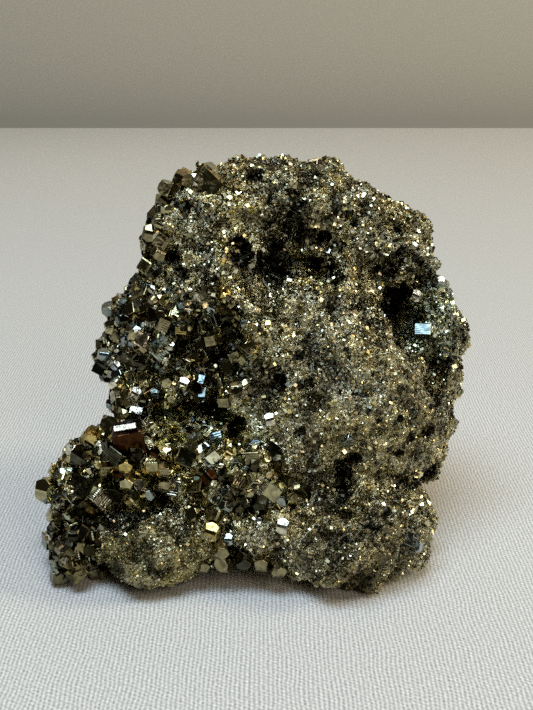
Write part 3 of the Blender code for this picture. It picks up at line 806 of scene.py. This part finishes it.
# The crust near a large crystal is drawn into it, so that it never covers the crystal's faces.
DRAWN_FROM, SUNK_UNDER = 1.35, 0.85
for place, turn, half in zip(large_places, large_turns, large_halves):
    near = np.flatnonzero(np.linalg.norm(points - place, axis=1) < 2 * half[0])
    own = (points[near] - place) @ turn
    reach = np.abs(own / half).max(axis=1)
    under = reach < DRAWN_FROM
    own[under] *= (SUNK_UNDER / np.maximum(reach[under], SUNK_UNDER))[:, None]
    points[near] = own @ turn.T + place
crust.data.vertices.foreach_set("co", points.ravel())
crust.data.update()
bpy.ops.object.select_all(action="DESELECT")
crust.select_set(True)
bpy.ops.object.shade_flat()

# Where crystals of one to three millimetres pack the surface, and how much ground they take.
DRUSE = {
    "druse wall": 1,
    "druse lobe": 1,
    "druse sill": 1,
    "foot top": 1,
    "foot crest": 1,
    "foot left": 1,
    "foot knob": 1,
    "foot lobe": 1,
    "foot neck": 0.3,
    "top knob": 0.8,
    "left rim": 0.8,
    "druse hollow": 1,
    "druse pocket": 0.4,
}
DRUSE_EDGE = 0.15


def druse_share(points):
    """How much of the ground at each point belongs to the druse, from 0 to 1."""
    share = np.zeros(len(points))
    for name, part in DRUSE.items():
        share = np.maximum(share, part * nearness(points, (LUMPS | VUGS)[name], DRUSE_EDGE))
    return share


# Where the crust is fine-grained and dull: centre x, y, z and radii, and how dull it is.
DULL_GROUNDS = (
    (21, -18, 28, 11, 9, 13, 0.45),
    (10, -22, 21, 7, 8, 7, 0.45),
    (-18, -31, 6, 9, 7, 6, 0.9),
    (14, -29, 10, 12, 9, 9, 0.6),
    (-8.5, -11, 25.5, 9, 9, 5, 1),
)
DULL_EDGE = 0.6


def dullness(points):
    """How fine-grained and dull the crust is at each point, from 0 to 1."""
    dull = np.zeros(len(points))
    for *row, depth in DULL_GROUNDS:
        dull = np.maximum(dull, depth * nearness(points, row, DULL_EDGE))
    return dull


GRAIN_TONE = np.array(linear("#BBB598")[:3])
# How much painted shade, with dirt, darkens the crevices, and painted shade the gaps between druse
# crystals.
CREVICE_PAINTED_SHADE, DRUSE_GAP_PAINTED_SHADE = 0.8, 0.55
# Width and contrast of a painted mottle of light and shade over the crust.
MOTTLE_WIDTH, MOTTLE_CONTRAST = 2, 0.35


def crust_shade(points, cavity):
    """What painted shade, crevice dirt, painted mottling and film leave of the crust's colour."""
    # Painted shade darkens the hollows, pits and druse gaps, and painted shade with dirt the
    # crevices.
    crevices = 1 - CREVICE_PAINTED_SHADE * cavity
    kept = (1 - painted_hollow_shade(points)) * crevices * (1 - DRUSE_GAP_PAINTED_SHADE * druse_share(points))
    # A painted mottle of light and shade stands in for lit lumps and shaded crevices.
    painted_mottle = np.array([noise.noise(p) for p in points / (MOTTLE_WIDTH * MM)])
    return (kept * (1 + MOTTLE_CONTRAST * painted_mottle))[:, None] * film_and_painted_light(points)


def granular(name, polished, dulled):
    """A pyrite surface coloured by its tone, from polished to dulled by its dull attribute."""
    made, tree, shader = new_material(name)
    tone = add_node(tree, "ShaderNodeAttribute", {"attribute_name": "tone"})
    tree.links.new(tone.outputs["Color"], shader.inputs["Base Color"])
    shader.inputs["Metallic"].default_value = 1
    dull = add_node(tree, "ShaderNodeAttribute", {"attribute_name": "dull"}).outputs["Fac"]
    rough = {"Value": dull, "To Min": polished, "To Max": dulled}
    rough = add_node(tree, "ShaderNodeMapRange", None, rough)
    tree.links.new(rough.outputs[0], shader.inputs["Roughness"])
    return made, tree, shader


# Massive pyrite: its facets are nearly half a millimetre wide, face every way and are crinkled.
FACET_WIDTH, FACET_TILT = 0.42 * MM, 1.3
CRINKLE_WIDTH, CRINKLE_DEPTH = 0.45 * MM, 0.3 * MM
paint(crust.data, "tone", GRAIN_TONE * crust_shade(points, cavity))
paint(crust.data, "dull", dullness(points))
crust.data.materials.clear()
pyrite_crust, tree, shader = granular("massive granular pyrite", 0.18, 0.38)
facets = facet_normal(tree, FACET_WIDTH, FACET_TILT)
place = add_node(tree, "ShaderNodeTexCoord").outputs["Object"]
crinkles = {"Vector": place, "Scale": 1 / CRINKLE_WIDTH, "Detail": 3.0}
crinkles = add_node(tree, "ShaderNodeTexNoise", None, crinkles).outputs["Fac"]
crinkled = {"Distance": CRINKLE_DEPTH, "Height": crinkles, "Normal": facets}
crinkled = add_node(tree, "ShaderNodeBump", None, crinkled)
tree.links.new(crinkled.outputs["Normal"], shader.inputs["Normal"])
crust.data.materials.append(pyrite_crust)
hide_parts("pyrite_specimen")
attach(crust, "root")


# The druse. Smaller crystals of the same forms pack the ground between the large ones, on the left
# side, in the hollows and over the foot, so close that hardly any crust shows between them.
def surface_points(mesh, count, rng, values):
    """Random places all over a mesh, each with the value at a corner of its triangle."""
    mesh.calc_loop_triangles()
    triangles = np.empty(len(mesh.loop_triangles) * 3, int)
    mesh.loop_triangles.foreach_get("vertices", triangles)
    triangles = triangles.reshape(-1, 3)
    corners = vertex_places(mesh)[triangles]
    crossed = np.cross(corners[:, 1] - corners[:, 0], corners[:, 2] - corners[:, 0])
    areas = np.linalg.norm(crossed, axis=1)
    chosen = rng.choice(len(areas), count, p=areas / areas.sum())
    weights = rng.dirichlet((1, 1, 1), count)
    return np.einsum("nk,nkj->nj", weights, corners[chosen]), values[triangles[chosen, 0]]


def spaced(places, gaps):
    """Which places stay when each keeps clear of those kept before it by the mean of their gaps."""
    cell = gaps.max()
    kept = []
    grid = {}
    for i, (place, gap) in enumerate(zip(places, gaps)):
        column, row, layer = (place // cell).astype(int)
        near = []
        for a in (-1, 0, 1):
            for b in (-1, 0, 1):
                for c in (-1, 0, 1):
                    near += grid.get((column + a, row + b, layer + c), [])
        if all(np.linalg.norm(places[j] - place) > (gap + gaps[j]) / 2 for j in near):
            kept.append(i)
            grid.setdefault((column, row, layer), []).append(i)
    return np.array(kept)


def random_turns(count, rng):
    """Rotation matrices that face every way alike."""
    quaternions = rng.normal(size=(4, count))
    w, x, y, z = quaternions / np.linalg.norm(quaternions, axis=0)
    rows = [
        [1 - 2 * (y * y + z * z), 2 * (x * y - w * z), 2 * (x * z + w * y)],
        [2 * (x * y + w * z), 1 - 2 * (x * x + z * z), 2 * (y * z - w * x)],
        [2 * (x * z - w * y), 2 * (y * z + w * x), 1 - 2 * (x * x + y * y)],
    ]
    return np.array(rows).transpose(2, 0, 1)


def clear_of_large(points, margin):
    """Which points are outside every large crystal by a margin."""
    free = np.ones(len(points), bool)
    for place, turn, half in zip(large_places, large_turns, large_halves):
        near = np.flatnonzero(np.linalg.norm(points - place, axis=1) < 2 * half[0] + margin)
        inside = (np.abs((points[near] - place) @ turn) < half + margin).all(axis=1)
        free[near[inside]] = False
    return free


PALETTE = np.array(list(TONES.values()))
# The share of the crystals that has each tone of the palette, and each form.
TONE_SHARES = [0.14, 0.25, 0.05, 0.18, 0.1, 0.06, 0.02, 0.2]
DRUSE_FORMS = ["cube", "pyritohedron", "cut_corner", "edged_cube"]
FORM_SHARES = [0.25, 0.4, 0.2, 0.15]
# How many crystals are tried, how many of them may stand on the faces of the large ones, how close
# together they stay, as a share of their width, and how many have grooves.
TRIED, ON_FACES, SPACING, DRUSE_GROOVED = 60000, 0.05, 0.66, 0.12

places, _ = surface_points(crust.data, TRIED, rng, cavity)
share = druse_share(places)
on_foot = nearness(places, FOOT, FOOT_EDGE)
sizes = (0.85 + (1.7 + 0.6 * on_foot) * rng.random(TRIED) ** 1.7) * MM
on_faces = rng.random(TRIED) < ON_FACES
in_druse = rng.random(TRIED) < share
kept = np.flatnonzero(in_druse & (clear_of_large(places, 0.1 * MM) | on_faces))
kept = kept[spaced(places[kept], sizes[kept] * SPACING)]
places, sizes = places[kept], sizes[kept]
count = len(kept)
tones = PALETTE[rng.choice(len(PALETTE), count, p=TONE_SHARES)]
# Painted shade darkens the druse crystals in the hollows, and those on the foot are drawn brighter.
shade = rng.uniform(0.65, 1.1, count) * (1 - 0.7 * painted_hollow_shade(places)) * (1 + 0.45 * on_foot[kept])
joined(
    "druse_crystals",
    rng.choice(DRUSE_FORMS, count, p=FORM_SHARES),
    places,
    random_turns(count, rng),
    sizes[:, None] / 2 * rng.uniform(0.85, 1.2, (count, 3)),
    tones * shade[:, None] * film_and_painted_light(places),
    (rng.random(count) < DRUSE_GROOVED) * 1.0,
    np.zeros(count),
    pyrite_face,
)


# The grains. The rest of the crust is sugary: countless crystals a quarter to three quarters of a
# millimetre across, grown into each other every way round, each with a flat face or two that can
# catch the light. Each is a cube or an octahedron.
GRAINS, GRAIN_PIECES = 70000, 4
GRAIN_TINTS = np.array([
    (1.7, 1.65, 1.7),
    (1.05, 1.05, 1.05),
    (1.25, 1.16, 0.76),
    (0.65, 0.65, 0.6),
    (0.95, 1, 1.15),
    (0.25, 0.24, 0.2),
])
TINT_SHARES = [0.16, 0.32, 0.12, 0.2, 0.06, 0.14]
SPLINTER_SHARE, SPLINTER_REACH = 0.6, 1.25
GRAIN_SHINE = 1.15

pyrite_grain, tree, shader = granular("pyrite grains", 0.14, 0.34)
places, cavities = surface_points(crust.data, GRAINS, rng, cavity)
in_crust = rng.random(GRAINS) > 0.85 * druse_share(places)
kept = np.flatnonzero(in_crust & clear_of_large(places, 0.15 * MM))
places, cavities = places[kept], cavities[kept]
count = len(kept)
dull = dullness(places)
sizes = (0.25 + (0.5 - 0.3 * dull) * rng.random(count) ** (3 + dull)) * MM
forms = rng.choice(["grain", "splinter"], count, p=[1 - SPLINTER_SHARE, SPLINTER_SHARE])
tints = GRAIN_TINTS[rng.choice(len(GRAIN_TINTS), count, p=TINT_SHARES)]
tones = GRAIN_TONE * GRAIN_SHINE * tints * crust_shade(places, cavities)
halves = sizes[:, None] / 2 * rng.uniform(0.7, 1.3, (count, 3))
halves[forms == "splinter"] *= SPLINTER_REACH
turns = random_turns(count, rng)
for piece in range(GRAIN_PIECES):
    own = slice(piece, None, GRAIN_PIECES)
    joined(
        f"grains_{piece + 1}",
        forms[own],
        places[own],
        turns[own],
        halves[own],
        tones[own],
        np.zeros(len(places[own])),
        dull[own],
        pyrite_grain,
    )
